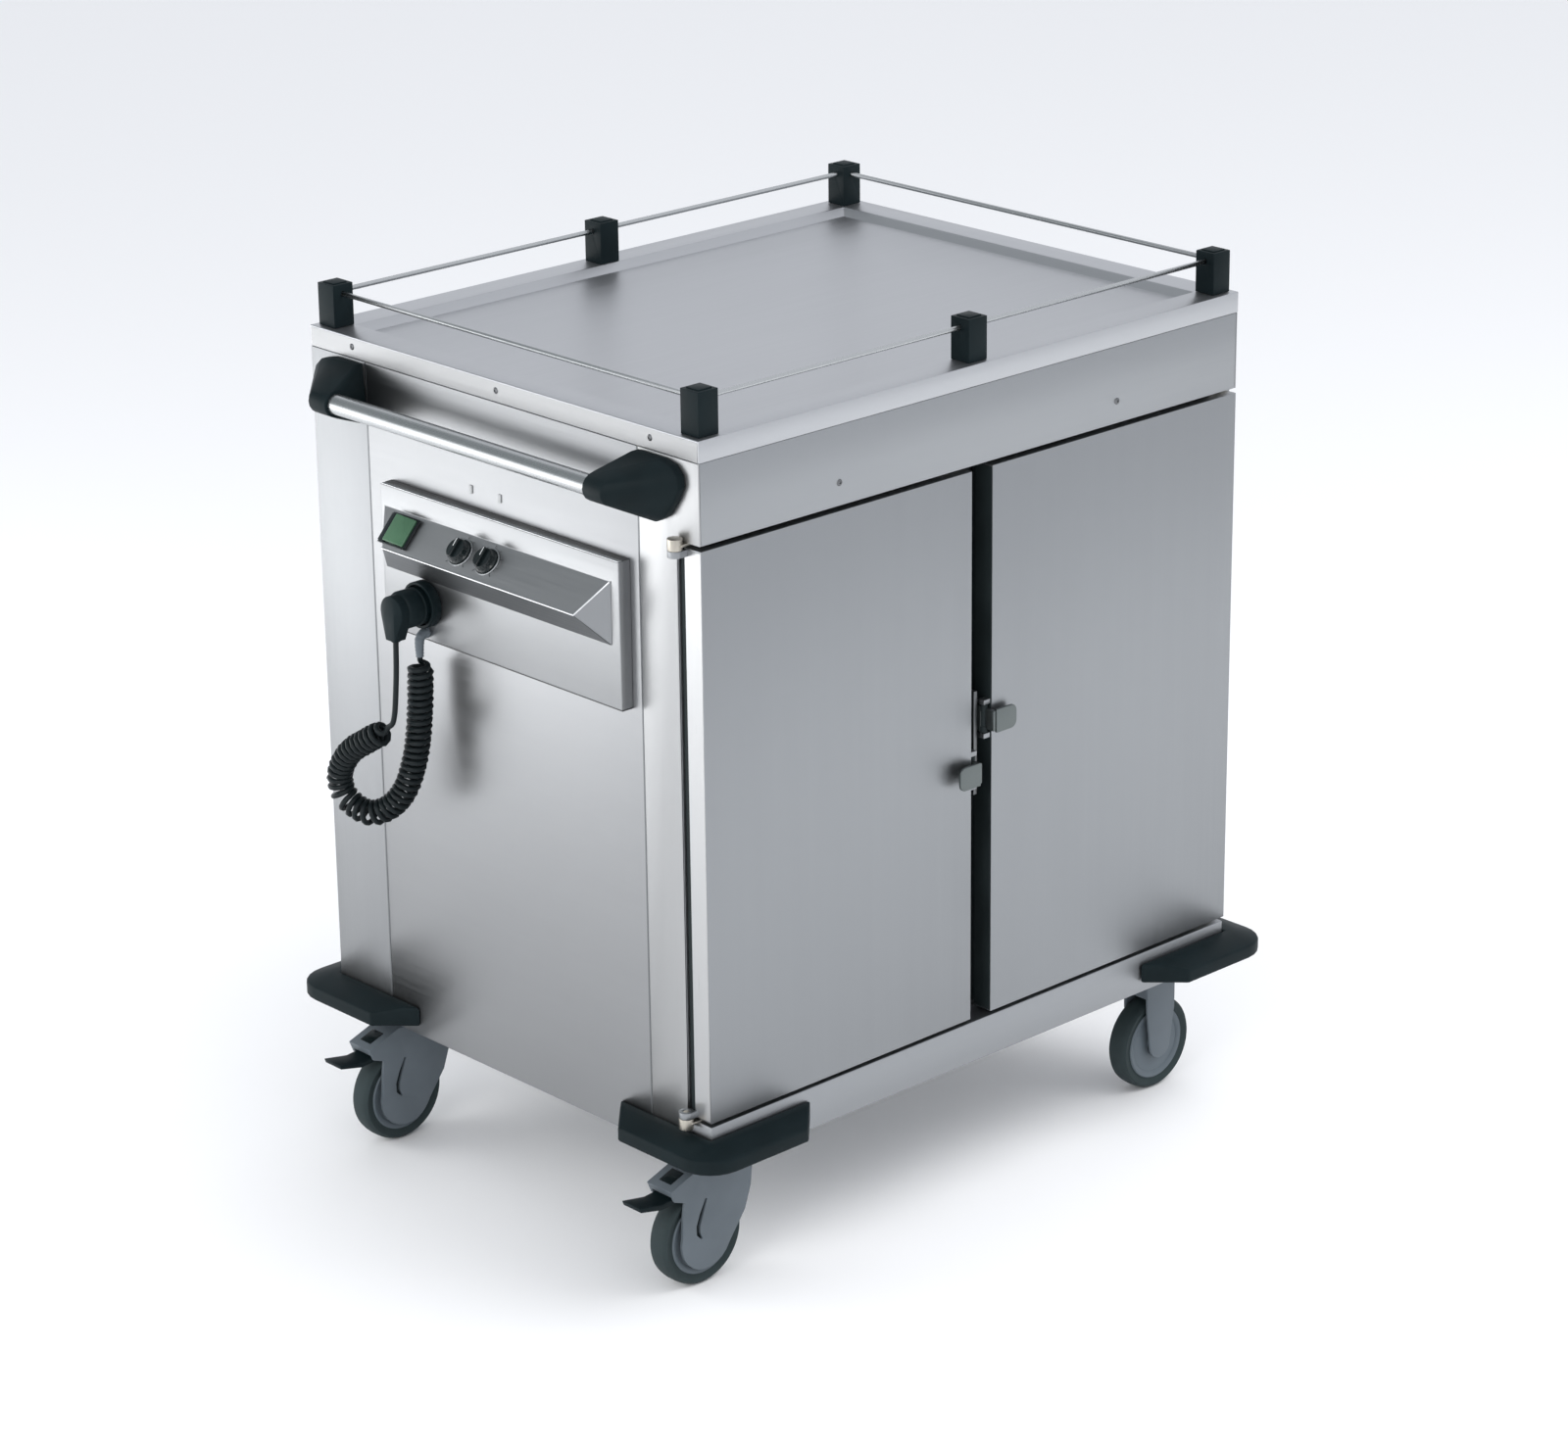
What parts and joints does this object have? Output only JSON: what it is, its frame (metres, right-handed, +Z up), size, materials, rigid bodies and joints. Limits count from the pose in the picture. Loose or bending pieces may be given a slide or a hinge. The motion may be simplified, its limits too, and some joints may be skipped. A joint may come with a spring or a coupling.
{
  "type": "heated insulated food trolley",
  "caption": "Upright insulated stainless food cabinet on casters, with twin doors, a railed top deck, a push bar, an end control panel and a coiled mains cord.",
  "frame": {"origin": "middle of the footprint at floor level, measured without the cord", "axes": "+Z up, doors face -Y, push bar at -X"},
  "size_m": [1.049, 0.79, 1.123],
  "materials": {
    "sheet_steel": "fine vertical grain stainless sheet",
    "inner_steel": "smooth bright stainless sheet",
    "polished_steel": "polished stainless bar",
    "plated_steel": "dull zinc plate",
    "hinge_metal": "satin bronze-toned pin and bracket",
    "black_plastic": "fine textured moulding, greenish black",
    "grey_plastic": "satin blue-grey nylon",
    "tyre_rubber": "dark grey solid rubber tread on a lighter grey hub",
    "cord_rubber": "smooth soft sheath",
    "rocker_green": "translucent dull green",
    "foam": "rigid foam, unseen"
  },
  "bodies": {
    "cabinet": {"base_frame": "sheet_steel", "bumper_front_left": "black_plastic", "bumper_front_right": "black_plastic", "bumper_rear_left": "black_plastic", "bumper_rear_right": "black_plastic", "control_housing": "sheet_steel", "cord_coil": "cord_rubber", "cord_gland": "black_plastic", "cord_lead": "cord_rubber", "fascia": "sheet_steel", "front_fixed_bracket": "grey_plastic", "front_frame": "sheet_steel", "front_pillar": "sheet_steel", "front_swivel_plate": "plated_steel", "gallery_post_front_left": "black_plastic", "gallery_post_front_middle": "black_plastic", "gallery_post_front_right": "black_plastic", "gallery_post_rear_left": "black_plastic", "gallery_post_rear_middle": "black_plastic", "gallery_post_rear_right": "black_plastic", "gallery_rail": "polished_steel", "handle_bracket_front": "black_plastic", "handle_bracket_rear": "black_plastic", "handle_tube": "polished_steel", "insulation_core": "foam", "latch_keeper": "plated_steel", "left_bottom_hinge": "hinge_metal", "left_heater": "plated_steel", "left_liner": "inner_steel", "left_top_hinge": "hinge_metal", "mains_plug": "black_plastic", "outer_casing": "sheet_steel", "parking_socket": "black_plastic", "rear_fixed_bracket": "grey_plastic", "rear_swivel_plate": "plated_steel", "right_bottom_hinge": "hinge_metal", "right_heater": "plated_steel", "right_liner": "inner_steel", "right_top_hinge": "hinge_metal", "service_panel": "sheet_steel", "top_cover": "sheet_steel"},
    "left_door": {"left_door_skin": "sheet_steel", "left_door_core": "inner_steel", "left_door_gasket": "cord_rubber"},
    "right_door": {"right_door_skin": "sheet_steel", "right_door_core": "inner_steel", "right_door_gasket": "cord_rubber"},
    "left_latch": {"left_latch": "plated_steel"},
    "right_latch": {"right_latch": "plated_steel"},
    "left_dial": {"left_dial": "black_plastic"},
    "right_dial": {"right_dial": "black_plastic"},
    "power_rocker": {"power_rocker": "rocker_green"},
    "front_swivel": {"front_swivel_fork": "grey_plastic"},
    "rear_swivel": {"rear_swivel_fork": "grey_plastic"},
    "front_swivel_wheel": {"front_swivel_wheel": "tyre_rubber"},
    "rear_swivel_wheel": {"rear_swivel_wheel": "tyre_rubber"},
    "front_fixed_wheel": {"front_fixed_wheel": "tyre_rubber"},
    "rear_fixed_wheel": {"rear_fixed_wheel": "tyre_rubber"},
    "front_pedal": {"front_swivel_pedal": "black_plastic"},
    "rear_pedal": {"rear_swivel_pedal": "black_plastic"}
  },
  "joints": [
    {"name": "left_door_hinge", "type": "hinge", "parent": "cabinet", "child": "left_door", "pos_m": [-0.44575, -0.318, 0.236], "axis": [0, 0, -1], "range_deg": [0, 180]},
    {"name": "right_door_hinge", "type": "hinge", "parent": "cabinet", "child": "right_door", "pos_m": [0.47325, -0.318, 0.236], "axis": [0, 0, 1], "range_deg": [0, 180]},
    {"name": "left_latch_pivot", "type": "hinge", "parent": "left_door", "child": "left_latch", "pos_m": [0.00325, -0.343, 0.543], "axis": [0, 0, 1], "range_deg": [0, 25]},
    {"name": "right_latch_pivot", "type": "hinge", "parent": "right_door", "child": "right_latch", "pos_m": [0.02425, -0.343, 0.604], "axis": [0, 0, -1], "range_deg": [0, 25]},
    {"name": "left_dial_turn", "type": "hinge", "parent": "cabinet", "child": "left_dial", "pos_m": [-0.4722, -0.017, 0.8609], "axis": [-0.7442, 0, 0.6679], "range_deg": [0, 270]},
    {"name": "right_dial_turn", "type": "hinge", "parent": "cabinet", "child": "right_dial", "pos_m": [-0.4722, 0.032, 0.8609], "axis": [-0.7442, 0, 0.6679], "range_deg": [0, 270]},
    {"name": "power_rocker_tip", "type": "hinge", "parent": "cabinet", "child": "power_rocker", "pos_m": [-0.47249, 0.141, 0.86117], "axis": [-0.6679, 0, -0.7442], "range_deg": [0, 12]},
    {"name": "front_caster_swivel", "type": "hinge", "parent": "cabinet", "child": "front_swivel", "pos_m": [-0.36625, -0.285, 0.1575], "axis": [0, 0, 1], "continuous": true},
    {"name": "rear_caster_swivel", "type": "hinge", "parent": "cabinet", "child": "rear_swivel", "pos_m": [-0.36625, 0.285, 0.1575], "axis": [0, 0, 1], "continuous": true},
    {"name": "front_swivel_wheel_spin", "type": "hinge", "parent": "front_swivel", "child": "front_swivel_wheel", "pos_m": [-0.40625, -0.285, 0.0625], "axis": [0, 1, 0], "continuous": true},
    {"name": "rear_swivel_wheel_spin", "type": "hinge", "parent": "rear_swivel", "child": "rear_swivel_wheel", "pos_m": [-0.40625, 0.285, 0.0625], "axis": [0, 1, 0], "continuous": true},
    {"name": "front_fixed_wheel_spin", "type": "hinge", "parent": "cabinet", "child": "front_fixed_wheel", "pos_m": [0.39375, -0.285, 0.0625], "axis": [0, 1, 0], "continuous": true},
    {"name": "rear_fixed_wheel_spin", "type": "hinge", "parent": "cabinet", "child": "rear_fixed_wheel", "pos_m": [0.39375, 0.285, 0.0625], "axis": [0, 1, 0], "continuous": true},
    {"name": "front_brake_press", "type": "hinge", "parent": "front_swivel", "child": "front_pedal", "pos_m": [-0.44175, -0.285, 0.1262], "axis": [0, -1, 0], "range_deg": [0, 12]},
    {"name": "rear_brake_press", "type": "hinge", "parent": "rear_swivel", "child": "rear_pedal", "pos_m": [-0.44175, 0.285, 0.1262], "axis": [0, -1, 0], "range_deg": [0, 12]}
  ]
}
